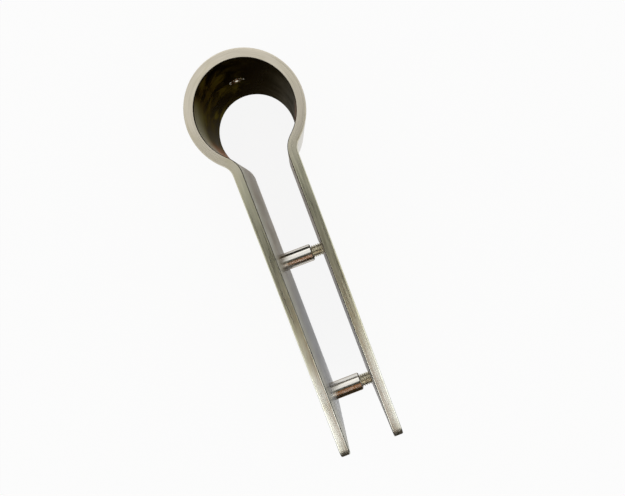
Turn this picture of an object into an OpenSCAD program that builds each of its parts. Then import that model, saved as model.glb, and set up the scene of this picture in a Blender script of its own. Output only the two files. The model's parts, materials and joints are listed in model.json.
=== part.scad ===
// Glass panel clamp: a bent flat bar that wraps a round tube, with two legs that
// hold a glass panel between them. Two barrel nuts and two countersunk screws cross
// the gap, and a cone-point set screw at the crown locks the clamp on the tube.
// Frame: origin on the tube's axis at mid-width, +Z along the tube, legs towards -Y,
// +X from the leg of the barrel nuts to the leg of the screws. Millimetres.

/* [Tube] */
// Outside diameter of the tube that the ring wraps
tube_d = 40; // [36:0.1:50]

/* [Strap] */
// Width of the flat bar, along the tube
strap_w = 60; // [30:1:80]
// Thickness of the flat bar
strap_t = 4; // [3.8:0.1:6]
// Clear space between the legs, for the glass and its pads
glass_gap = 19.5; // [14:0.5:22]
// Distance from the tube's axis to the ends of the legs
leg_reach = 147.5; // [144:0.5:180]
// Straight length of the neck between the ring and the bend into a leg
neck_len = 1.5; // [0.5:0.5:6]
// Inside radius of the bend from the neck into a leg
neck_bend_r = 6; // [4:0.5:8]
// Rounding of a leg's end, seen along the tube
tip_r = 1.4; // [0.8:0.1:1.8]
// Rounding of a leg's corners, seen across the gap
corner_r = 5; // [1.5:0.5:8]

/* [Cross bolts] */
// Distance from the lower cross bolt to the ends of the legs
end_margin = 16; // [13:0.5:30]
// Distance between the two cross bolts
bolt_pitch = 66; // [30:1:75]
// Outside diameter of the bolts' thread
thread_d = 6; // [5:0.5:6.4]
// Outside diameter of a barrel nut's sleeve
sleeve_d = 8; // [7.8:0.1:9]
// Diameter of the countersunk heads
head_d = 12; // [11.4:0.1:12.4]
// Straight rim of the countersunk heads, above the cone
head_rim = 0.3; // [0.2:0.1:0.5]
// Space between a barrel nut's end and the leg across from it
nut_gap = 5; // [3:0.5:7]
// Length of screw that is engaged in its barrel nut
engaged = 7; // [5:0.5:8]
// Width across the flats of the hexagon sockets in nuts and screws
socket_w = 4; // [3:0.5:4.5]
// Depth of those sockets
socket_h = 2.4; // [1.5:0.1:2.6]
// Metal left between a nut's socket and its tapped hole
nut_web = 2; // [1.5:0.1:3]

/* [Set screw] */
// Outside diameter of the set screw's thread
set_d = 6; // [5:0.5:8]
// Length of the set screw, with its cone point
set_len = 8; // [6:1:12]
// Height of its cone point
set_tip = 2.2; // [1:0.1:2.4]
// Width across the flats of its hexagon socket
set_socket_w = 3; // [2:0.5:3.5]
// Depth of that socket
set_socket_h = 3; // [2:0.5:3.5]

/* [Clearances] */
// Radial running clearance of a sleeve in its leg, and of a thread in its nut
run_gap = 0.08; // [0.04:0.01:0.1]
// Radial clearance of a screw in its leg
hole_gap = 0.3; // [0.2:0.05:0.5]
// Space left under a countersunk head, square to its cone
seat_gap = 0.1; // [0.05:0.05:0.2]
// Space between the tube and the set screw's point, as it is backed off
point_gap = 0.1; // [0.1:0.1:1]

/* [Hidden] */
$fn = 72;

satin_steel = [0.72, 0.70, 0.66];
bright_steel = [0.85, 0.85, 0.84];
screw_steel = [0.66, 0.64, 0.56];
dark_steel = [0.40, 0.39, 0.36];

// Inner face of the ring and outer face of the legs
tube_r = tube_d / 2;
leg_face = glass_gap / 2 + strap_t;

// Inner face's radius in the bend from the neck into a leg
bend_r = neck_bend_r + strap_t;

// Slope of the neck against the legs, at which a neck of that length leaves the ring on
// a tangent and meets the bend, and the direction square out of the neck on the +X side
neck_slope = acos((glass_gap / 2 + bend_r) / norm([tube_r + bend_r, neck_len]))
             - atan2(neck_len, tube_r + bend_r);
neck_out = [cos(neck_slope), -sin(neck_slope)];

// Centre of the bend from the neck into the leg
bend_at = (tube_r + bend_r) * neck_out - neck_len * [sin(neck_slope), cos(neck_slope)];

bolt_ys = [end_margin + bolt_pitch - leg_reach, end_margin - leg_reach];

// Cross bolts: lengths that follow the strap and the gap
nut_len = strap_t + glass_gap - nut_gap;
nut_bore = nut_len - socket_h - nut_web;
screw_len = strap_t + nut_gap + engaged;

// Edge breaks on the small turned pieces
sleeve_break = 0.5;
thread_break = 0.6;
mouth_break = 0.4;
drill_slope = 31;

// How far a cut runs past the face that it opens
cut_over = 1;
// How far tangent faces cross where they meet, so that each meets in one clean edge
lap = 0.0005;

// Flat bar

// Right half of a line that follows the bar at a depth from its inner face: off the
// ring on the neck's tangent, round the bend's centre and down the leg to y = -reach
function side_points(depth, reach) = [
    (tube_r + depth - lap) * neck_out,
    bend_at - (bend_r - depth + lap) * neck_out,
    bend_at,
    [glass_gap / 2 + depth, bend_at[1]],
    [glass_gap / 2 + depth, -reach]
];

// All that lies inside that line, width high along the tube, with both bends rounded
module inside_bar(depth, reach, width) {
    side = side_points(depth, reach);
    last = len(side) - 1;
    cylinder(r = tube_r + depth, h = width, center = true, $fn = 180);
    difference() {
        linear_extrude(height = width, center = true)
            polygon(concat(side, [for (i = [last:-1:0]) [-side[i][0], side[i][1]]]));
        for (x = [-1, 1])
            translate([x * bend_at[0], bend_at[1], 0])
                cylinder(r = bend_r - depth + 2 * lap, h = width + 2 * cut_over,
                         center = true, $fn = 144);
    }
}

// What is cut from a corner at the origin, along Z, to round it to r
module corner_waste(r, len) {
    difference() {
        translate([-cut_over, -cut_over, -len / 2])
            cube([r + cut_over, r + cut_over, len]);
        translate([r, r, 0])
            cylinder(r = r, h = len + 2 * cut_over, center = true);
    }
}

// Rounds a leg's end on both faces of the bar
module tip_waste() {
    for (side = [0, 1])
        translate([side * strap_t, 0, 0])
            mirror([side, 0, 0])
                corner_waste(tip_r, strap_w + 2 * cut_over);
}

// Rounds the corners of both legs' ends, seen across the gap
module leg_corner_waste() {
    for (side = [0, 1])
        mirror([0, 0, side])
            translate([0, -leg_reach, -strap_w / 2])
                rotate([90, 0, 90])
                    corner_waste(corner_r, 2 * leg_face + 2 * cut_over);
}

// Hole along +X through a wall of strap thickness that ends at x = 0, with a
// countersink that is open at x = 0 and seats a head of head_d
module countersunk_hole(hole_r) {
    mouth_r = head_d / 2 + seat_gap * sqrt(2);
    translate([-strap_t - cut_over, 0, 0])
        rotate([0, 90, 0])
            cylinder(r = hole_r, h = strap_t + 2 * cut_over);
    translate([-head_rim, 0, 0])
        rotate([0, 90, 0])
            cylinder(r = mouth_r, h = head_rim + cut_over);
    translate([-head_rim - mouth_r + hole_r, 0, 0])
        rotate([0, 90, 0])
            cylinder(r1 = hole_r, r2 = mouth_r, h = mouth_r - hole_r);
}

// Tapped hole through the crown of the ring, with both mouths broken
module crown_hole() {
    hole_r = set_d / 2 + run_gap;
    rotate([-90, 0, 0]) {
        translate([0, 0, tube_r - cut_over])
            cylinder(r = hole_r, h = strap_t + 2 * cut_over);
        translate([0, 0, tube_r - cut_over])
            cylinder(r1 = hole_r + mouth_break + cut_over, r2 = hole_r,
                     h = mouth_break + cut_over);
        translate([0, 0, tube_r + strap_t - mouth_break])
            cylinder(r1 = hole_r, r2 = hole_r + mouth_break + cut_over,
                     h = mouth_break + cut_over);
    }
}

// The whole strap: ring, necks and legs from one bar, with its holes
module strap() {
    color(satin_steel)
        difference() {
            inside_bar(strap_t, leg_reach, strap_w);
            inside_bar(0, leg_reach + cut_over, strap_w + 2 * cut_over);
            for (side = [0, 1])
                mirror([side, 0, 0])
                    translate([glass_gap / 2, -leg_reach, 0])
                        tip_waste();
            leg_corner_waste();
            for (y = bolt_ys) {
                translate([leg_face, y, 0])
                    countersunk_hole(thread_d / 2 + hole_gap);
                translate([-leg_face, y, 0])
                    mirror([1, 0, 0])
                        countersunk_hole(sleeve_d / 2 + run_gap);
            }
            crown_hole();
        }
}

// Turned pieces

// Hexagon socket of width w, sunk h from z = 0 towards +Z, with a drilled bottom
module hex_socket(w, h) {
    translate([0, 0, -cut_over])
        cylinder(d = w / cos(30), h = h + cut_over, $fn = 6);
    translate([0, 0, h])
        cylinder(d1 = w, d2 = 0, h = w / 2 * tan(drill_slope));
}

// Barrel nut along +Z: countersunk head at z = 0, tapped sleeve up to nut_len
module barrel_nut() {
    head_r = head_d / 2;
    sleeve_r = sleeve_d / 2;
    bore_r = thread_d / 2 + run_gap;
    difference() {
        rotate_extrude()
            polygon([[0, 0],
                     [head_r, 0],
                     [head_r, head_rim],
                     [sleeve_r, head_rim + head_r - sleeve_r],
                     [sleeve_r, nut_len - sleeve_break],
                     [sleeve_r - sleeve_break, nut_len],
                     [bore_r + mouth_break, nut_len],
                     [bore_r, nut_len - mouth_break],
                     [bore_r, nut_len - nut_bore],
                     [0, nut_len - nut_bore]]);
        hex_socket(socket_w, socket_h);
    }
}

// Countersunk screw along +Z: head at z = 0, shank up to screw_len
module clamp_screw() {
    head_r = head_d / 2;
    shank_r = thread_d / 2;
    difference() {
        rotate_extrude()
            polygon([[0, 0],
                     [head_r, 0],
                     [head_r, head_rim],
                     [shank_r, head_rim + head_r - shank_r],
                     [shank_r, screw_len - thread_break],
                     [shank_r - thread_break, screw_len],
                     [0, screw_len]]);
        hex_socket(socket_w, socket_h);
    }
}

// Barrel nut in the -X leg
module nut_at(y) {
    color(bright_steel)
        translate([-leg_face, y, 0])
            rotate([0, 90, 0])
                barrel_nut();
}

// Screw in the +X leg
module screw_at(y) {
    color(screw_steel)
        translate([leg_face, y, 0])
            rotate([0, -90, 0])
                clamp_screw();
}

module barrel_nut_upper() {
    nut_at(bolt_ys[0]);
}

module barrel_nut_lower() {
    nut_at(bolt_ys[1]);
}

module clamp_screw_upper() {
    screw_at(bolt_ys[0]);
}

module clamp_screw_lower() {
    screw_at(bolt_ys[1]);
}

// Set screw in the crown: cone point towards the tube, socket outwards
module set_screw() {
    shank_r = set_d / 2;
    point_r = shank_r - set_tip;
    color(dark_steel)
        translate([0, tube_r + point_gap + set_len, 0])
            rotate([90, 0, 0])
                difference() {
                    rotate_extrude()
                        polygon([[0, 0],
                                 [shank_r - thread_break, 0],
                                 [shank_r, thread_break],
                                 [shank_r, set_len - set_tip],
                                 [point_r, set_len],
                                 [0, set_len]]);
                    hex_socket(set_socket_w, set_socket_h);
                }
}

strap();
barrel_nut_upper();
barrel_nut_lower();
clamp_screw_upper();
clamp_screw_lower();
set_screw();
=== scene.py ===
"""Glass panel clamp: bent bar, barrel nuts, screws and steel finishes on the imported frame."""

import json
import math

import bmesh
import bpy
from bpy.props import FloatProperty, FloatVectorProperty, IntProperty, PointerProperty
from bpy.types import Operator, Panel, PropertyGroup
from bpy.utils import register_class, unregister_class
from mathutils import Matrix, Vector


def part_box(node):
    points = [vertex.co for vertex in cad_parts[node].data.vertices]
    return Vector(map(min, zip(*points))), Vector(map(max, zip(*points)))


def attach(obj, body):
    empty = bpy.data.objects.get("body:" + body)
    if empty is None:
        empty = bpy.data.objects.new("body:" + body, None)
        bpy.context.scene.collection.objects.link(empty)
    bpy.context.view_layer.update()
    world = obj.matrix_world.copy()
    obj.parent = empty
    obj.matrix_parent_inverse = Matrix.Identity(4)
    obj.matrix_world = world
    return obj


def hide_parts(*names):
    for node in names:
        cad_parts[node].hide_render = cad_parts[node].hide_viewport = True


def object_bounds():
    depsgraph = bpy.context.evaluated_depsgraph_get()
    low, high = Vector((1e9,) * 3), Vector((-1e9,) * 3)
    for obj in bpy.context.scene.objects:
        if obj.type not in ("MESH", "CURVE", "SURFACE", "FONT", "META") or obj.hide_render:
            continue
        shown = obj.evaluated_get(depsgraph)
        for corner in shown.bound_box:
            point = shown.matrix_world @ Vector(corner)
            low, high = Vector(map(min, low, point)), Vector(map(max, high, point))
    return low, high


bl_info = {
    "name": "Glass Panel Clamp",
    "version": (1, 0, 0),
    "blender": (4, 5, 0),
    "location": "View3D > Sidebar > Glass Clamp",
    "description": "Builds the visible pieces and finishes of a glass panel clamp",
    "category": "Add Mesh",
}

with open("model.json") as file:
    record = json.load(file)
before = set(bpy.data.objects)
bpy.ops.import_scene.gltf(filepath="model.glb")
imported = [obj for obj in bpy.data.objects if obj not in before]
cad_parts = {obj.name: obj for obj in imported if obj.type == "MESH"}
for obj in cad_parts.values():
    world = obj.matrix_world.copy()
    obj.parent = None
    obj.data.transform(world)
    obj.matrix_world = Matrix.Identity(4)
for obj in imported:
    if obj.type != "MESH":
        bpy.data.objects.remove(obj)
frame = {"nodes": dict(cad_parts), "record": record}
CAD_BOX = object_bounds()
MOUNTS = {m["name"]: m for m in frame["record"]["mounts"]}
BOLTS = ("upper", "lower")

# Sizes that the frame gives

RING_RADIUS = MOUNTS["tube_seat"]["dims"]["r_mm"] / 1000
BAR_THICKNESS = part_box("strap")[1].x - RING_RADIUS
LEG_INSIDE = MOUNTS["glass_face_right"]["pos_m"][0]
FLOOR_HEIGHT = CAD_BOX[0].z

# Small sizes of the meshes, in metres

WELD = 1e-7  # verts this close are one
CUT = 1e-8  # verts this close to a cut lie on it
NEAR = 2e-6  # verts this close to a loop are in it
CAD_WELD = 1.5e-6  # verts of the CAD mesh this close are one
DEGENERATE = 1e-6  # edges of the CAD mesh shorter than this are dissolved
FLOOR_GAP = 0.0001  # from the clamp to the floor
CARD_GAP = 0.0003  # from the clamp's lower edge up to the card on the floor
BORE_PLAY = 0.0001  # from a thread's outer radius to its nut's bore
BITE = 0.00004  # of a nut's thread into the wall of its bore
MOUTH = 0.0004  # chamfer at the mouth of a nut's bore
TAP_INSET = 0.0003  # from a tapped hole's end to its thread
TAP_START = 0.0002  # from a blind hole's bottom to its thread
PLUG = 0.0003  # of a screw's head into its threaded shank
PLUG_PLAY = 0.00005  # from the plug to the root of the thread
END_DISC = 0.0005  # thickness of the set screw's socket end
DISC_PLAY = 0.00002  # from that end to the root of the thread
POINT_BREAK = 0.0001  # at the flat of the set screw's point
CONE_BACK = 0.0002  # of the cone into its threaded shank
FIRST_CREST = 0.0004  # from the set screw's point to a crest

# How far the camera's frame is slid, as shares of its width

CAMERA_SHIFT = (-0.0046, -0.0442)

# Slopes and angles of the meshes

OUTER_RUN_OUT, INNER_RUN_OUT = 1.1, 0.9  # slopes at the ends of the threads
FLAT_ANGLE = math.radians(0.4)  # CAD faces that meet at less are one
EDGE_ANGLE = math.radians(25)  # CAD edges above this are rounded
SHARP_ANGLE = math.radians(32)  # edges above this are shaded sharp
DRILL_ANGLE = math.radians(31)  # slope of a socket's drilled bottom

# Tints of small areas, among them painted shade and painted light, and how far the tones run along
# the bar

HALF_BAR = 0.18  # metres from the crown to about a leg's end
END_SHADE_TINT = (0.20, 0.18, 0.10)  # painted shade at the rounded ends of the legs
PATCH_TINT = (0.14, 0.132, 0.042)  # olive patches inside the ring
SKY_SHEEN_TINT = (0.80, 0.80, 0.68)  # painted sky reflection inside the ring beside the left neck, towards the top
RIGHT_LEG_SHADE_TINT = (0.20, 0.13, 0.08)  # painted shade on the inner face of the right leg
EDGE_SHADE_TINT = (0.015, 0.012, 0.008)  # painted shade: a dark line at the inner face's rounded edges
WORN_AND_HIGHLIGHT_TINT = (0.85, 0.82, 0.72)  # bright end of the set screw: wear and a painted highlight


def length(name, description, default):
    """A length in metres."""
    return FloatProperty(
        name=name,
        description=description,
        default=default,
        min=0.0,
        precision=5,
        subtype="DISTANCE",
        unit="LENGTH",
    )


def share(name, description, default):
    """A number from 0 to 1."""
    return FloatProperty(
        name=name, description=description, default=default, min=0.0, max=1.0, subtype="FACTOR"
    )


def colour(name, description, default):
    """A linear colour."""
    return FloatVectorProperty(
        name=name, description=description, default=default, min=0.0, max=1.0, subtype="COLOR"
    )


def count(name, description, default):
    """A number of steps."""
    return IntProperty(name=name, description=description, default=default, min=6, max=240)


# Sizes and colours that a user would change


class ClampBar(PropertyGroup):
    neck: length("Neck", "Straight length of a neck between its two bends", 0.0015)
    bend: length("Leg Bend", "Radius of the gap side in the bend into a leg", 0.010)
    edge_round: length("Edge Rounding", "Rounding of the bar's long edges", 0.00045)
    hole_break: length("Hole Break", "Break at the edges of the holes", 0.00012)
    steel: colour("Ring Steel", "Colour of the brushed ring", (0.65, 0.60, 0.495))
    olive: colour("Leg Steel", "Colour of the brushed legs near the necks", (0.66, 0.65, 0.49))
    # Tip Steel is partly painted light: it makes the legs lighter towards their ends
    tip_tone_and_sheen: colour("Tip Steel", "Colour of the brushed legs near their ends", (0.78, 0.80, 0.74))
    stain: colour("Stain", "Colour of the stains on the brushed bar", (0.42, 0.38, 0.23))
    # Forming Scale is partly painted shade: it keeps the ring's inside near-black where the steel
    # would mirror the bright floor
    scale: colour("Forming Scale", "Colour of the scale inside the ring", (0.014, 0.011, 0.006))
    amber: colour("Heat Tint", "Colour of the heat tint at the necks", (0.80, 0.30, 0.05))
    brown: colour("Leg Inside, Top", "Colour inside the legs near the necks", (0.62, 0.54, 0.39))
    blue: colour("Leg Inside, End", "Colour inside the legs near their ends", (0.53, 0.55, 0.58))


class ClampThread(PropertyGroup):
    pitch: length("Pitch", "Travel of one turn of the threads", 0.001)
    radius: length("Radius", "Outer radius of the screws' threads", 0.00298)
    depth: length("Depth", "Depth of the threads from crest to root", 0.00058)
    play: length("Play", "Radial space between a thread and its mate's crest", 0.00014)
    taper: length("Taper", "Length over which a thread runs out at its end", 0.0006)
    steps: count("Steps", "Steps that make one turn of a thread", 60)


class ClampTurned(PropertyGroup):
    sleeve: length("Sleeve Radius", "Radius of a barrel nut's sleeve", 0.004)
    sleeve_break: length("Sleeve Break", "Chamfer at the open end of a sleeve", 0.0005)
    rim: length("Head Rim", "Straight rim of the countersunk heads", 0.0003)
    web: length("Web", "Metal between a nut's socket and its tapped hole", 0.002)
    socket: length("Socket Width", "Width across the flats of the sockets", 0.004)
    socket_deep: length("Socket Depth", "Depth of the sockets", 0.0024)
    small_socket: length("Set Screw Socket", "Width across the flats in the set screw", 0.003)
    small_deep: length("Set Screw Socket Depth", "Depth of the set screw's socket", 0.003)
    point: length("Point", "Height of the set screw's cone point", 0.0022)
    edge_break: length("Edge Break", "Break at the turned edges", 0.00012)
    steps: count("Steps", "Steps round a turned piece", 96)
    nut_steel: colour("Polished Steel", "Colour of the polished barrel nuts", (0.80, 0.78, 0.73))
    screw_steel: colour("Screw Steel", "Colour of the plain screws", (0.84, 0.80, 0.66))
    point_steel: colour("Set Screw Steel", "Colour of the dark set screw", (0.34, 0.33, 0.31))


class ClampStage(PropertyGroup):
    eye: FloatVectorProperty(
        name="Camera Place",
        description="Where the camera stands",
        default=(0.005812, -0.039997, 0.205015),
        subtype="TRANSLATION",
        unit="LENGTH",
    )
    turn: FloatVectorProperty(
        name="Camera Turn",
        description="How the camera is turned",
        default=[math.radians(a) for a in (-2.645, -2.633, -20.549)],
        subtype="EULER",
        unit="ROTATION",
    )
    lens: FloatProperty(
        name="Lens", description="Focal length", default=25.34, min=1.0, unit="CAMERA"
    )
    paper: colour("Floor", "Colour of the floor", (0.90, 0.90, 0.90))
    sky: share("Daylight", "Strength of the light all round", 0.80)
    shadow: share("Shadow", "How much of the object's shadow the floor shows", 0.10)


# Mesh helpers


def finish_piece(name, bm, body, materials, node):
    """Makes a bmesh a piece that rides on a body and stands for a CAD node."""
    mesh = bpy.data.meshes.new(name)
    bm.to_mesh(mesh)
    bm.free()
    for material in materials:
        mesh.materials.append(material)
    piece = bpy.data.objects.new(name, mesh)
    bpy.context.scene.collection.objects.link(piece)
    weights = piece.modifiers.new("Even Shading", "WEIGHTED_NORMAL")
    weights.keep_sharp = True
    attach(piece, body)
    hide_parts(node)
    return piece


def shade(bm):
    """Smooth faces, with sharp edges where they meet at a sharp angle."""
    for face in bm.faces:
        face.smooth = True
    for edge in bm.edges:
        edge.smooth = edge.calc_face_angle(0) < SHARP_ANGLE


def new_verts(bm, before):
    """The verts that a bmesh has got since a set of its verts was taken."""
    return [v for v in bm.verts if v not in before]


def spun(bm, profile, steps):
    """Turns a line of (along, radius) points round the X axis and returns its verts."""
    before = set(bm.verts)
    line = [bm.verts.new((x, 0, r)) for x, r in profile]
    edges = [bm.edges.new(pair) for pair in zip(line, line[1:])]
    bmesh.ops.spin(
        bm,
        geom=line + edges,
        cent=(0, 0, 0),
        axis=(1, 0, 0),
        dvec=(0, 0, 0),
        angle=2 * math.pi,
        steps=steps,
        use_merge=True,
        use_normal_flip=False,
        use_duplicate=False,
    )
    bmesh.ops.remove_doubles(bm, verts=new_verts(bm, before), dist=WELD)
    return new_verts(bm, before)


def off_axis(v):
    """Distance of a vert from the X axis."""
    return math.hypot(v.co.y, v.co.z)


def set_radius(v, radius):
    """Moves a vert to a distance from the X axis."""
    scale = radius / off_axis(v)
    v.co.y *= scale
    v.co.z *= scale


def hexed(verts, x, radius, apothem):
    """Moves the round loop of verts at a place and radius onto a hexagon."""
    for v in verts:
        if abs(v.co.x - x) < NEAR and abs(off_axis(v) - radius) < NEAR:
            turn = math.atan2(v.co.y, v.co.z) % (math.pi / 3) - math.pi / 6
            set_radius(v, apothem / math.cos(turn))


def socket_profile(width, deep, edge_break):
    """Line from the bottom of a hexagon socket to its mouth, and its hexagon's radius."""
    apothem = width / 2
    corner = apothem / math.cos(math.pi / 6)
    line = [
        (deep + apothem * math.tan(DRILL_ANGLE), 0),
        (deep, apothem * 0.97),
        (deep, corner),
        (edge_break, corner),
        (0, corner + edge_break),
    ]
    return line, corner


def socket_hexed(verts, width, deep, edge_break, corner):
    """Gives the socket's walls their six flats."""
    for x in (deep, edge_break):
        hexed(verts, x, corner, width / 2)


def faces_of(bm, verts):
    """The faces whose verts are all among these."""
    known = set(verts)
    return [f for f in bm.faces if all(v in known for v in f.verts)]


def facing(face):
    """How far a face points away from the X axis, from -1 to 1."""
    return face.normal.dot(Vector((0, *face.calc_center_median().yz)).normalized())


def turn_faces(faces, outwards):
    """Flips faces round the X axis if they point the wrong way."""
    surest = max(faces, key=lambda f: abs(facing(f)))
    if (facing(surest) > 0) != outwards:
        for f in faces:
            f.normal_flip()


def helix(bm, thread, root, crest, flat, middle, low, high):
    """A right-hand thread round the X axis from low to high, with a crest at middle."""
    pitch, steps = thread.pitch, thread.steps
    first = middle - pitch * (math.ceil((middle - low) / pitch) + 1)
    turns = math.ceil((high - first) / pitch) + 1
    half = pitch / 2
    line = [
        (-half, root),
        (-half + pitch / 10, root),
        (-flat / 2, crest),
        (flat / 2, crest),
        (half - pitch / 10, root),
        (half, root),
    ]
    before = set(bm.verts)
    points = [bm.verts.new((first + x, 0, r)) for x, r in line]
    edges = [bm.edges.new(pair) for pair in zip(points, points[1:])]
    bmesh.ops.spin(
        bm,
        geom=points + edges,
        cent=(0, 0, 0),
        axis=(1, 0, 0),
        dvec=(pitch / steps, 0, 0),
        angle=2 * math.pi * turns,
        steps=steps * turns,
        use_merge=False,
        use_normal_flip=False,
        use_duplicate=False,
    )
    bmesh.ops.remove_doubles(bm, verts=new_verts(bm, before), dist=WELD)
    for x, above in ((low, True), (high, False)):
        made = new_verts(bm, before)
        faces = faces_of(bm, made)
        edges = list(dict.fromkeys(e for f in faces for e in f.edges))
        bmesh.ops.bisect_plane(
            bm,
            geom=made + edges + faces,
            dist=CUT,
            plane_co=(x, 0, 0),
            plane_no=(1, 0, 0),
            clear_inner=above,
            clear_outer=not above,
        )
    made = new_verts(bm, before)
    faces = faces_of(bm, made)
    for f in faces:
        f.normal_update()
    turn_faces(faces, crest > root)
    return made


def outer_thread(bm, thread, middle, low, high, tapers):
    """A screw's thread, closed at both ends and tapered at those that are named."""
    root = thread.radius - thread.depth
    verts = helix(bm, thread, root, thread.radius, thread.pitch / 8, middle, low, high)
    for v in verts:
        for end in tapers:
            limit = root - thread.taper / 6 + abs(v.co.x - end) * OUTER_RUN_OUT
            if off_axis(v) > limit:
                set_radius(v, limit)
    for end in (low, high):
        rim = [
            e
            for e in bm.edges
            if e.is_boundary and all(abs(v.co.x - end) < WELD for v in e.verts)
        ]
        bmesh.ops.edgeloop_fill(bm, edges=rim)
    return verts


def inner_thread(bm, thread, bore, middle, low, high, tapers):
    """A nut's thread, half a pitch off its screw's, run out at the ends that are named."""
    crest = thread.radius - thread.depth + thread.play
    root = bore + BITE
    middle += thread.pitch / 2
    verts = helix(bm, thread, root, crest, thread.pitch / 5, middle, low, high)
    for v in verts:
        for end in tapers:
            limit = root - abs(v.co.x - end) * INNER_RUN_OUT
            if off_axis(v) < limit:
                set_radius(v, limit)
    return verts


def set_screw_crest():
    """Where a crest of the set screw's thread stands, at its side that faces up."""
    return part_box("set_screw")[0].y + FIRST_CREST


def moved(bm, *matrices):
    """Turns and moves the whole bmesh, the first matrix first."""
    for matrix in matrices:
        bmesh.ops.transform(bm, matrix=matrix, verts=bm.verts)


# The bar's own directions


def bar_place(bar, x, y):
    """Distance along the bar from the crown, depth from its inner face, and its direction."""
    side = -1 if x < 0 else 1
    x = abs(x)
    radius, bend, neck = RING_RADIUS, bar.bend, bar.neck
    slope = math.acos((LEG_INSIDE + bend) / math.hypot(radius + bend, neck)) - math.atan2(
        neck, radius + bend
    )
    out = Vector((math.cos(slope), -math.sin(slope)))
    down = Vector((-math.sin(slope), -math.cos(slope)))
    centre = (radius + bend) * out + neck * down
    here = Vector((x, y))
    turn = math.atan2(-y, x)
    ring = radius * (math.pi / 2 + slope)
    if turn <= slope:
        along, depth = radius * (math.pi / 2 + turn), here.length - radius
    elif here.dot(down) <= neck:
        along, depth, turn = ring + here.dot(down), here.dot(out) - radius, slope
    else:
        back = centre - here
        turn = math.atan2(-back.y, back.x)
        if turn >= 0:
            along, depth = ring + neck + bend * (slope - turn), bend - back.length
        else:
            along, depth = ring + neck + bend * slope + centre.y - y, x - LEG_INSIDE
            turn = 0
    return side * along, depth, Vector((-side * math.sin(turn), -math.cos(turn), 0))


# Materials


class Recipe:
    """A material's node tree, with short calls that add and join its nodes."""

    def __init__(self, name):
        self.material = bpy.data.materials.new(name)
        self.material.use_nodes = True
        self.tree = self.material.node_tree
        self.tree.nodes.clear()
        self.output = self.add("OutputMaterial")

    def add(self, kind, **settings):
        """A shader node with its settings. A socket's name is given as in_Name."""
        node = self.tree.nodes.new("ShaderNode" + kind)
        for key, value in settings.items():
            if key.startswith("in_"):
                node.inputs[key[3:].replace("_", " ")].default_value = value
            else:
                setattr(node, key, value)
        return node

    def join(self, source, target):
        """A link between two sockets."""
        self.tree.links.new(source, target)

    def parts(self, vector):
        """The three numbers of a vector."""
        node = self.add("SeparateXYZ")
        self.join(vector, node.inputs[0])
        return node.outputs

    def size(self, value):
        """A value without its sign."""
        node = self.add("Math", operation="ABSOLUTE")
        self.join(value, node.inputs[0])
        return node.outputs[0]

    def noise(self, vector, per_metre, detail, distortion=0.0):
        """Noise with its own number of grains in a metre along each axis of a vector."""
        place = self.add("Mapping", in_Scale=per_metre)
        noise = self.add("TexNoise", in_Scale=1.0, in_Detail=detail, in_Distortion=distortion)
        self.join(vector, place.inputs["Vector"])
        self.join(place.outputs["Vector"], noise.inputs["Vector"])
        return noise.outputs["Fac"]

    def ramp(self, value, stops):
        """Colours at places from 0 to 1."""
        node = self.add("ValToRGB")
        elements = node.color_ramp.elements
        while len(elements) < len(stops):
            elements.new(0.5)
        for element, (place, tint) in zip(elements, stops):
            element.position = place
            element.color = (*tint, 1)
        self.join(value, node.inputs["Fac"])
        return node.outputs["Color"]

    def greys(self, value, *stops):
        """Greys at places from 0 to 1."""
        return self.ramp(value, [(place, (level,) * 3) for place, level in stops])

    def span(self, value, low, high, to_low, to_high):
        """A value mapped from one span to another, held at its ends."""
        node = self.add(
            "MapRange", in_From_Min=low, in_From_Max=high, in_To_Min=to_low, in_To_Max=to_high
        )
        self.join(value, node.inputs["Value"])
        return node.outputs["Result"]

    def product(self, first, second):
        """Two values multiplied."""
        node = self.add("Math", operation="MULTIPLY")
        self.join(first, node.inputs[0])
        self.join(second, node.inputs[1])
        return node.outputs[0]

    def blend(self, factor, first, second, kind="MIX"):
        """Two colours mixed by a factor. Each is a socket or a colour."""
        node = self.add("Mix", data_type="RGBA", blend_type=kind)
        sockets = (node.inputs[0], node.inputs[6], node.inputs[7])
        for socket, value in zip(sockets, (factor, first, second)):
            if isinstance(value, bpy.types.NodeSocket):
                self.join(value, socket)
            else:
                socket.default_value = value if socket.type == "VALUE" else (*value, 1)
        return node.outputs[2]

    def bump(self, height, strength, distance, normal=None):
        """Small height differences as a normal."""
        node = self.add("Bump", in_Strength=strength, in_Distance=distance)
        self.join(height, node.inputs["Height"])
        if normal:
            self.join(normal, node.inputs["Normal"])
        return node.outputs["Normal"]

    def surface(self, **settings):
        """The Principled shader, joined to the output."""
        shader = self.add("BsdfPrincipled", **settings)
        self.join(shader.outputs["BSDF"], self.output.inputs["Surface"])
        return shader


def seen_rays(tree):
    """1 for the rays that show the background: straight, mirrored or through glass."""
    path = tree.nodes.new("ShaderNodeLightPath")
    seen = path.outputs["Is Camera Ray"]
    for name in ("Is Glossy Ray", "Is Transmission Ray"):
        both = tree.nodes.new("ShaderNodeMath")
        both.operation = "MAXIMUM"
        tree.links.new(seen, both.inputs[0])
        tree.links.new(path.outputs[name], both.inputs[1])
        seen = both.outputs[0]
    return seen


def darker(tint, factor):
    """A colour times a factor."""
    return tuple(c * factor for c in tint)


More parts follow.
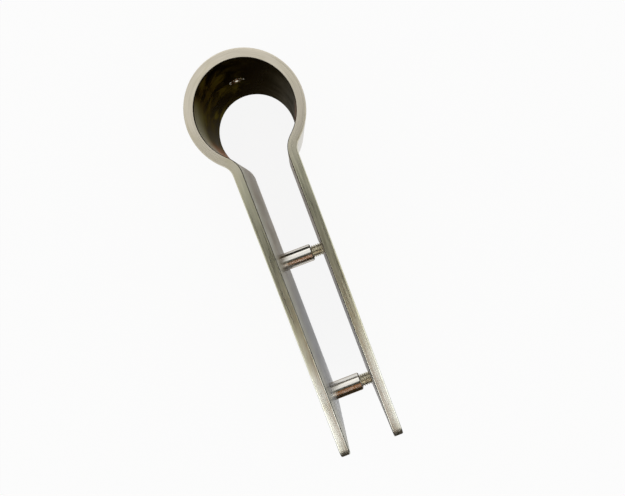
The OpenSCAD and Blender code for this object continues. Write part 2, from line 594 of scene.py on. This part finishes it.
def brushed_bar(bar):
    """Steel brushed along the bar, with faint stains, lighter leg ends that are partly painted
    light, and painted shade at the rounded tips.
    """
    recipe = Recipe("Brushed Steel Bar")
    place = recipe.add("Attribute", attribute_name="bar").outputs["Vector"]
    grain = recipe.add("Attribute", attribute_name="grain").outputs["Vector"]
    coarse = recipe.noise(place, (60, 1500, 1500), 2.0)
    fine = recipe.noise(place, (250, 7000, 7000), 3.0)
    cloud = recipe.noise(place, (90, 160, 160), 4.0, 0.6)
    far = recipe.size(recipe.parts(place)["X"])
    # Tone along the bar: ring, legs, then lighter ends that are partly painted light
    tone = recipe.ramp(
        recipe.span(far, 0.0, HALF_BAR, 0.0, 1.0),
        ((0.25, bar.steel), (0.36, bar.olive), (0.70, bar.olive), (0.85, bar.tip_tone_and_sheen)),
    )
    tone = recipe.blend(1.0, tone, recipe.greys(coarse, (0.25, 0.72), (0.75, 1.0)), "MULTIPLY")
    tone = recipe.blend(recipe.span(cloud, 0.50, 0.72, 0.0, 0.35), tone, tuple(bar.stain))
    # Painted shade at the rounded ends of the legs
    tone = recipe.blend(recipe.span(far, 0.171, 0.181, 0.0, 0.65), tone, END_SHADE_TINT)
    shader = recipe.surface(in_Metallic=1.0, in_Anisotropic=0.65)
    recipe.join(tone, shader.inputs["Base Color"])
    recipe.join(recipe.span(coarse, 0.2, 0.8, 0.24, 0.36), shader.inputs["Roughness"])
    normal = recipe.bump(coarse, 0.10, 0.0001)
    normal = recipe.bump(fine, 0.12, 0.00003, normal)
    recipe.join(normal, shader.inputs["Normal"])
    recipe.join(grain, shader.inputs["Tangent"])
    return recipe.material


def heat_tint_and_shade_inside(bar):
    """Dark scale inside the ring that fades over heat tint into the legs' inner faces; the scale's
    near-black is partly painted shade, and the inner faces are partly painted lighter towards their
    open ends.
    """
    recipe = Recipe("Heat Tint and Painted Shade Inside")
    place = recipe.add("Attribute", attribute_name="bar").outputs["Vector"]
    parts = recipe.parts(place)
    along, height = parts["X"], parts["Z"]
    cloud = recipe.noise(place, (110, 110, 110), 4.0, 0.8)
    streak = recipe.noise(place, (90, 1800, 1800), 3.0)

    # The tones change along the bar, at places that wander with the clouds. The near-black in the
    # ring is partly painted shade, and the lighter blue at the legs' ends partly painted light
    wander = recipe.add("Math", operation="MULTIPLY_ADD")
    wander.inputs[1].default_value = 0.006
    recipe.join(cloud, wander.inputs[0])
    recipe.join(recipe.size(along), wander.inputs[2])
    far = recipe.span(wander.outputs[0], 0.0, HALF_BAR, 0.0, 1.0)
    tone = recipe.ramp(
        far,
        (
            (0.0, bar.scale),
            (0.20, bar.scale),
            (0.26, bar.amber),
            (0.30, bar.brown),
            (0.52, bar.brown),
            (0.72, bar.blue),
            (0.95, darker(bar.blue, 1.45)),
        ),
    )

    # Olive patches, a painted sky reflection on the left, painted shade on the right leg's inner
    # face, and a painted shade line at the edges
    patches = recipe.product(
        recipe.span(cloud, 0.40, 0.72, 0.0, 1.0),
        recipe.span(along, 0.012, -0.016, 0.12, 1.0),
    )
    tone = recipe.blend(patches, tone, PATCH_TINT, "LIGHTEN")
    # Painted sky reflection inside the ring's left side, near the top
    sky_sheen = recipe.product(
        recipe.span(along, -0.018, -0.036, 0.0, 1.0),
        recipe.span(height, 0.004, 0.026, 0.0, 0.9),
    )
    tone = recipe.blend(sky_sheen, tone, SKY_SHEEN_TINT)
    # Painted shade on the right leg's inner face
    tone = recipe.blend(recipe.span(along, 0.050, 0.068, 0.0, 0.60), tone, RIGHT_LEG_SHADE_TINT)
    # Painted shade: a dark line along the rounded edges
    edge_shade = recipe.span(recipe.size(height), 0.0290, 0.0296, 0.0, 1.0)
    tone = recipe.blend(edge_shade, tone, EDGE_SHADE_TINT)
    tone = recipe.blend(0.35, tone, recipe.greys(streak, (0.3, 0.55), (0.7, 1.0)), "MULTIPLY")

    # The low specular tint dims what the inside mirrors, as part of its painted shade
    shader = recipe.surface(in_Specular_Tint=(0.30, 0.27, 0.20, 1))
    recipe.join(recipe.span(far, 0.22, 0.32, 1.0, 0.20), shader.inputs["Metallic"])
    recipe.join(tone, shader.inputs["Base Color"])
    recipe.join(recipe.span(cloud, 0.3, 0.7, 0.34, 0.50), shader.inputs["Roughness"])
    recipe.join(recipe.bump(streak, 0.15, 0.00006), shader.inputs["Normal"])
    return recipe.material


def turned_steel(name, steel, shades, clouds, marks, gloss, relief, worn_and_highlit=None, **settings):
    """Steel with clouds of tone and gloss and fine marks, bright where it is worn and a highlight
    is painted.
    """
    recipe = Recipe(name)
    place = recipe.add("TexCoord").outputs["Object"]
    cloud = recipe.noise(place, *clouds)
    fine = recipe.noise(place, marks, 2.0)
    dark, light = (darker(steel, factor) for factor in shades)
    tone = recipe.ramp(cloud, ((0.3, dark), (0.7, light)))
    # Wear and a painted highlight at the set screw's point
    if worn_and_highlit:
        tone = recipe.blend(recipe.span(recipe.parts(place)["Y"], *worn_and_highlit, 1.0, 0.0), tone, WORN_AND_HIGHLIGHT_TINT)
    shader = recipe.surface(in_Metallic=1.0, **settings)
    recipe.join(tone, shader.inputs["Base Color"])
    recipe.join(recipe.span(cloud, 0.3, 0.7, *gloss), shader.inputs["Roughness"])
    recipe.join(recipe.bump(fine, *relief), shader.inputs["Normal"])
    return recipe.material


def polished_nut(turned):
    """Polished steel with faint turning marks round the X axis."""
    return turned_steel(
        "Polished Nut Steel",
        turned.nut_steel,
        shades=(0.92, 1.04),
        clouds=((500, 500, 500), 3.0),
        marks=(7000, 60, 60),
        gloss=(0.14, 0.21),
        relief=(0.05, 0.00002),
        in_Specular_Tint=(0.30, 0.24, 0.18, 1),
    )


def plain_screw(turned):
    """Plain rolled steel, mottled in tone."""
    return turned_steel(
        "Rolled Screw Steel",
        turned.screw_steel,
        shades=(0.75, 1.15),
        clouds=((900, 900, 900), 4.0),
        marks=(6000, 2500, 2500),
        gloss=(0.24, 0.38),
        relief=(0.10, 0.00003),
    )


def dark_screw(turned):
    """Dark steel of the set screw, bright at its end from wear and a painted highlight."""
    return turned_steel(
        "Dark Set Screw Steel",
        turned.point_steel,
        shades=(0.6, 1.2),
        clouds=((1100, 1100, 1100), 4.0),
        marks=(2500, 6000, 2500),
        gloss=(0.22, 0.40),
        relief=(0.10, 0.00003),
        worn_and_highlit=(0.0202, 0.0222),
    )


# Operators


class CLAMP_OT_strap(Operator):
    """Makes the strap: the bent bar with rounded edges, its holes and its tapped crown"""

    bl_idname = "clamp.strap"
    bl_label = "Strap"

    def execute(self, context):
        bar, thread = context.scene.clamp_bar, context.scene.clamp_thread
        bm = self.merged_bar()
        self.round_edges(bm, bar)
        shade(bm)
        self.tap_crown(bm, thread)
        self.mark_places(bm, bar)
        finish_piece(
            "bent_strap",
            bm,
            "strap",
            (brushed_bar(bar), heat_tint_and_shade_inside(bar)),
            "strap",
        )
        return {"FINISHED"}

    def merged_bar(self):
        """A copy of the CAD bar with each of its flat faces in one."""
        bm = bmesh.new()
        bm.from_mesh(frame["nodes"]["strap"].data)
        bmesh.ops.remove_doubles(bm, verts=bm.verts, dist=CAD_WELD)
        bmesh.ops.dissolve_degenerate(bm, dist=DEGENERATE, edges=bm.edges)
        bmesh.ops.dissolve_limit(
            bm,
            angle_limit=FLAT_ANGLE,
            use_dissolve_boundaries=False,
            verts=bm.verts,
            edges=bm.edges,
            delimit=set(),
        )
        return bm

    def round_edges(self, bm, bar):
        """Breaks the edges of the holes, then rounds the bar's long edges."""
        reach = CAD_BOX[1].z * 0.6
        for long_edges, offset, segments in ((False, bar.hole_break, 2), (True, bar.edge_round, 4)):
            edges = [
                e
                for e in bm.edges
                if e.calc_face_angle(0) > EDGE_ANGLE
                and (abs((e.verts[0].co.z + e.verts[1].co.z) / 2) > reach) == long_edges
            ]
            bmesh.ops.bevel(
                bm,
                geom=edges,
                offset=offset,
                offset_type="OFFSET",
                segments=segments,
                profile=0.5,
                affect="EDGES",
                clamp_overlap=False,
                material=-1,
            )
        bmesh.ops.triangulate(
            bm,
            faces=[f for f in bm.faces if len(f.verts) > 6],
            quad_method="BEAUTY",
            ngon_method="BEAUTY",
        )

    def tap_crown(self, bm, thread):
        """Adds the thread of the crown's hole, in step with the set screw's."""
        tap = bmesh.new()
        ends = (RING_RADIUS + TAP_INSET, RING_RADIUS + BAR_THICKNESS - TAP_INSET)
        inner_thread(tap, thread, thread.radius + BORE_PLAY, set_screw_crest(), *ends, ends)
        shade(tap)
        moved(tap, Matrix.Rotation(math.pi / 2, 4, "Z"))
        mesh = bpy.data.meshes.new("crown_tap")
        tap.to_mesh(mesh)
        tap.free()
        bm.from_mesh(mesh)
        bpy.data.meshes.remove(mesh)

    def mark_places(self, bm, bar):
        """Gives the verts their place and grain along the bar, and the inside its material."""
        places = bm.verts.layers.float_vector.new("bar")
        grains = bm.verts.layers.float_vector.new("grain")
        for v in bm.verts:
            along, depth, direction = bar_place(bar, v.co.x, v.co.y)
            v[places] = (along, depth, v.co.z)
            v[grains] = direction
        for face in bm.faces:
            across = abs(face.normal.z) < 0.9
            shallow = all(v[places].y < bar.edge_round * 1.02 for v in face.verts)
            face.material_index = int(across and shallow)


class CLAMP_OT_barrel_nuts(Operator):
    """Makes the two barrel nuts, with hexagon sockets and tapped sleeves"""

    bl_idname = "clamp.barrel_nuts"
    bl_label = "Barrel Nuts"

    def execute(self, context):
        turned, thread = context.scene.clamp_turned, context.scene.clamp_thread
        material = polished_nut(turned)
        for which in BOLTS:
            low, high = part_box("barrel_nut_" + which)
            head = (high.y - low.y) / 2
            long = high.x - low.x
            wide, small = turned.sleeve, turned.edge_break
            bore = thread.radius + BORE_PLAY
            deep = turned.socket_deep + turned.web
            profile, corner = socket_profile(turned.socket, turned.socket_deep, small)
            profile += [
                (0, head - small),
                (small, head),
                (turned.rim, head),
                (turned.rim + head - wide, wide),
                (long - turned.sleeve_break, wide),
                (long - small, wide - turned.sleeve_break + small),
                (long, wide - turned.sleeve_break - small / 2),
                (long, bore + MOUTH),
                (long - MOUTH, bore),
                (deep, bore),
                (deep, 0),
            ]
            bm = bmesh.new()
            verts = spun(bm, profile, turned.steps)
            socket_hexed(verts, turned.socket, turned.socket_deep, small, corner)
            bmesh.ops.recalc_face_normals(bm, faces=bm.faces)
            moved(bm, Matrix.Translation((low.x, 0, 0)))
            screw_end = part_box("clamp_screw_" + which)[0].x
            start, mouth = low.x + deep + TAP_START, high.x - TAP_INSET
            inner_thread(bm, thread, bore, screw_end, start, mouth, (mouth,))
            shade(bm)
            moved(bm, Matrix.Translation((0, (low.y + high.y) / 2, 0)))
            finish_piece(
                "polished_nut_" + which,
                bm,
                which + "_nut",
                (material,),
                "barrel_nut_" + which,
            )
        return {"FINISHED"}


class CLAMP_OT_clamp_screws(Operator):
    """Makes the two countersunk screws, with hexagon sockets and rolled threads"""

    bl_idname = "clamp.clamp_screws"
    bl_label = "Clamp Screws"

    def execute(self, context):
        turned, thread = context.scene.clamp_turned, context.scene.clamp_thread
        material = plain_screw(turned)
        for which in BOLTS:
            low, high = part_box("clamp_screw_" + which)
            head = (high.y - low.y) / 2
            small = turned.edge_break
            under = turned.rim + head - thread.radius
            root = thread.radius - thread.depth
            profile, corner = socket_profile(turned.socket, turned.socket_deep, small)
            profile += [
                (0, head - small),
                (small, head),
                (turned.rim, head),
                (under, thread.radius),
                (under + PLUG, root - PLUG_PLAY),
                (under + PLUG, 0),
            ]
            bm = bmesh.new()
            verts = spun(bm, profile, turned.steps)
            socket_hexed(verts, turned.socket, turned.socket_deep, small, corner)
            bmesh.ops.recalc_face_normals(bm, faces=bm.faces)
            moved(bm, Matrix.Rotation(math.pi, 4, "Z"), Matrix.Translation((high.x, 0, 0)))
            outer_thread(bm, thread, low.x, low.x, high.x - under, (low.x,))
            shade(bm)
            moved(bm, Matrix.Translation((0, (low.y + high.y) / 2, 0)))
            finish_piece(
                "threaded_screw_" + which,
                bm,
                which + "_screw",
                (material,),
                "clamp_screw_" + which,
            )
        return {"FINISHED"}


class CLAMP_OT_set_screw(Operator):
    """Makes the set screw in the crown, with its cone point and its socket"""

    bl_idname = "clamp.set_screw"
    bl_label = "Set Screw"

    def execute(self, context):
        turned, thread = context.scene.clamp_turned, context.scene.clamp_thread
        low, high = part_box("set_screw")
        small = turned.edge_break
        root = thread.radius - thread.depth
        flat = thread.radius - turned.point
        shoulder = low.y + root - flat
        profile, corner = socket_profile(turned.small_socket, turned.small_deep, small)
        profile += [
            (0, root - small),
            (small, root - DISC_PLAY),
            (END_DISC, root - DISC_PLAY),
            (END_DISC, 0),
        ]
        cone = [
            (low.y, 0),
            (low.y, flat - POINT_BREAK),
            (low.y + POINT_BREAK, flat),
            (shoulder, root),
            (shoulder + CONE_BACK, root - CONE_BACK),
            (shoulder + CONE_BACK, 0),
        ]
        bm = bmesh.new()
        verts = spun(bm, profile, turned.steps)
        socket_hexed(verts, turned.small_socket, turned.small_deep, small, corner)
        bmesh.ops.recalc_face_normals(bm, faces=bm.faces)
        moved(bm, Matrix.Rotation(math.pi, 4, "Z"), Matrix.Translation((high.y, 0, 0)))
        spun(bm, cone, turned.steps)
        ends = (low.y + turned.point - thread.depth, high.y - small)
        outer_thread(bm, thread, set_screw_crest(), *ends, ends)
        shade(bm)
        moved(bm, Matrix.Rotation(math.pi / 2, 4, "Z"))
        finish_piece(
            "cone_point_screw",
            bm,
            "crown_screw",
            (dark_screw(turned),),
            "set_screw",
        )
        return {"FINISHED"}


class CLAMP_OT_stage(Operator):
    """Makes the floor, the soft light with its cards, and the camera"""

    bl_idname = "clamp.stage"
    bl_label = "Stage"

    def execute(self, context):
        scene, stage = context.scene, context.scene.clamp_stage
        scene.view_settings.view_transform = "Standard"
        self.make_floor(stage)
        self.make_sky(scene, stage)
        self.make_cards()
        self.make_camera(scene, stage)
        return {"FINISHED"}

    def make_sky(self, scene, stage):
        """Soft light all round, which shows as white."""
        world = bpy.data.worlds.new("Soft Daylight")
        world.use_nodes = True
        tree = world.node_tree
        background = tree.nodes["Background"]
        background.inputs["Color"].default_value = (1.0, 0.995, 0.985, 1)
        level = tree.nodes.new("ShaderNodeMapRange")
        level.inputs["To Min"].default_value = stage.sky
        tree.links.new(seen_rays(tree), level.inputs["Value"])
        tree.links.new(level.outputs["Result"], background.inputs["Strength"])
        scene.world = world

    def make_cards(self):
        """The lamps, and the dark and warm cards that the steel mirrors."""
        level, over_floor = (0, 0, 0), FLOOR_HEIGHT + CARD_GAP
        dark, brown = (0.085, 0.083, 0.065), (0.035, 0.022, 0.01)
        warm, pale = (0.34, 0.115, 0.005), (1.0, 0.99, 0.96)
        self.card("overhead_card", (0.0, -0.090, 0.25), (0.22, 0.16), (0, 0, 20), dark)
        self.card("warm_card", (-0.006, -0.29, 0.24), (0.052, 0.30), level, warm)
        self.card("end_card", (0.0, -0.42, 0.175), (0.50, 0.41), (90, 0, 0), brown)
        self.card("floor_card", (0.0, -0.300, over_floor), (0.50, 0.24), level, brown)
        self.card("left_lamp", (-0.135, -0.305, 0.26), (0.16, 0.20), level, pale, 4.3)
        self.card("right_lamp", (0.118, -0.27, 0.26), (0.16, 0.24), level, pale, 2.9)
        self.card("window", (0.0, 0.42, 0.24), (0.60, 0.34), (70, 0, 0), pale, 1.3)

    def make_camera(self, scene, stage):
        """The camera, which looks down on the clamp."""
        data = bpy.data.cameras.new("camera")
        data.sensor_width = 36
        data.lens = stage.lens
        data.shift_x, data.shift_y = CAMERA_SHIFT
        data.clip_start, data.clip_end = 0.01, 20
        camera = bpy.data.objects.new("camera", data)
        camera.location = stage.eye
        camera.rotation_euler = stage.turn
        scene.collection.objects.link(camera)
        scene.camera = camera

    def sheet(self, name, size, material):
        """A flat staged sheet."""
        bm = bmesh.new()
        bmesh.ops.create_grid(bm, x_segments=1, y_segments=1, size=0.5)
        bmesh.ops.scale(bm, vec=(*size, 1), verts=bm.verts)
        mesh = bpy.data.meshes.new(name)
        bm.to_mesh(mesh)
        bm.free()
        mesh.materials.append(material)
        made = bpy.data.objects.new(name, mesh)
        bpy.context.scene.collection.objects.link(made)
        return made

    def card(self, name, place, size, turn, tint, glow=0.0):
        """A card that the metal mirrors and the camera doesn't see."""
        recipe = Recipe(name.replace("_", " ").title())
        if glow:
            shader = recipe.add("Emission", in_Strength=glow)
        else:
            shader = recipe.add("BsdfDiffuse")
        shader.inputs["Color"].default_value = (*tint, 1)
        recipe.join(shader.outputs[0], recipe.output.inputs["Surface"])
        made = self.sheet(name, size, recipe.material)
        made.location = place
        made.rotation_euler = [math.radians(a) for a in turn]
        made.visible_camera = False
        made.visible_diffuse = False
        made.visible_shadow = False
        return made

    def make_floor(self, stage):
        """The pale floor, which keeps the object's shadow."""
        recipe = Recipe("Pale Floor")
        paper = recipe.add("BsdfDiffuse")
        paper.inputs["Color"].default_value = (*stage.paper, 1)
        white = recipe.add("Emission", in_Strength=1.0)
        direct = recipe.add("Math", operation="MULTIPLY")
        direct.inputs[1].default_value = 1 - stage.shadow
        mix = recipe.add("MixShader")
        recipe.join(seen_rays(recipe.tree), direct.inputs[0])
        recipe.join(direct.outputs[0], mix.inputs["Fac"])
        recipe.join(paper.outputs[0], mix.inputs[1])
        recipe.join(white.outputs[0], mix.inputs[2])
        recipe.join(mix.outputs[0], recipe.output.inputs["Surface"])
        floor = self.sheet("floor", (6, 6), recipe.material)
        floor.location.z = FLOOR_HEIGHT - FLOOR_GAP


class CLAMP_PT_panel(Panel):
    """Lists the clamp's sizes, colours and operators"""

    bl_label = "Glass Clamp"
    bl_idname = "CLAMP_PT_panel"
    bl_space_type = "VIEW_3D"
    bl_region_type = "UI"
    bl_category = "Glass Clamp"

    def draw(self, context):
        for name, group in GROUPS.items():
            box = self.layout.box()
            for key in group.__annotations__:
                box.prop(getattr(context.scene, name), key)
        for operator in OPERATORS:
            self.layout.operator(operator.bl_idname)


GROUPS = {
    "clamp_bar": ClampBar,
    "clamp_thread": ClampThread,
    "clamp_turned": ClampTurned,
    "clamp_stage": ClampStage,
}
OPERATORS = (
    CLAMP_OT_strap,
    CLAMP_OT_barrel_nuts,
    CLAMP_OT_clamp_screws,
    CLAMP_OT_set_screw,
    CLAMP_OT_stage,
)


def register():
    """Adds the properties, the operators and the panel."""
    for name, group in GROUPS.items():
        register_class(group)
        setattr(bpy.types.Scene, name, PointerProperty(type=group))
    for cls in (*OPERATORS, CLAMP_PT_panel):
        register_class(cls)


def unregister():
    """Takes them away again."""
    for cls in (CLAMP_PT_panel, *reversed(OPERATORS)):
        unregister_class(cls)
    for name, group in GROUPS.items():
        delattr(bpy.types.Scene, name)
        unregister_class(group)


def main():
    """Builds the clamp."""
    register()
    bpy.ops.clamp.strap()
    bpy.ops.clamp.barrel_nuts()
    bpy.ops.clamp.clamp_screws()
    bpy.ops.clamp.set_screw()
    bpy.ops.clamp.stage()


if __name__ == "__main__":
    main()
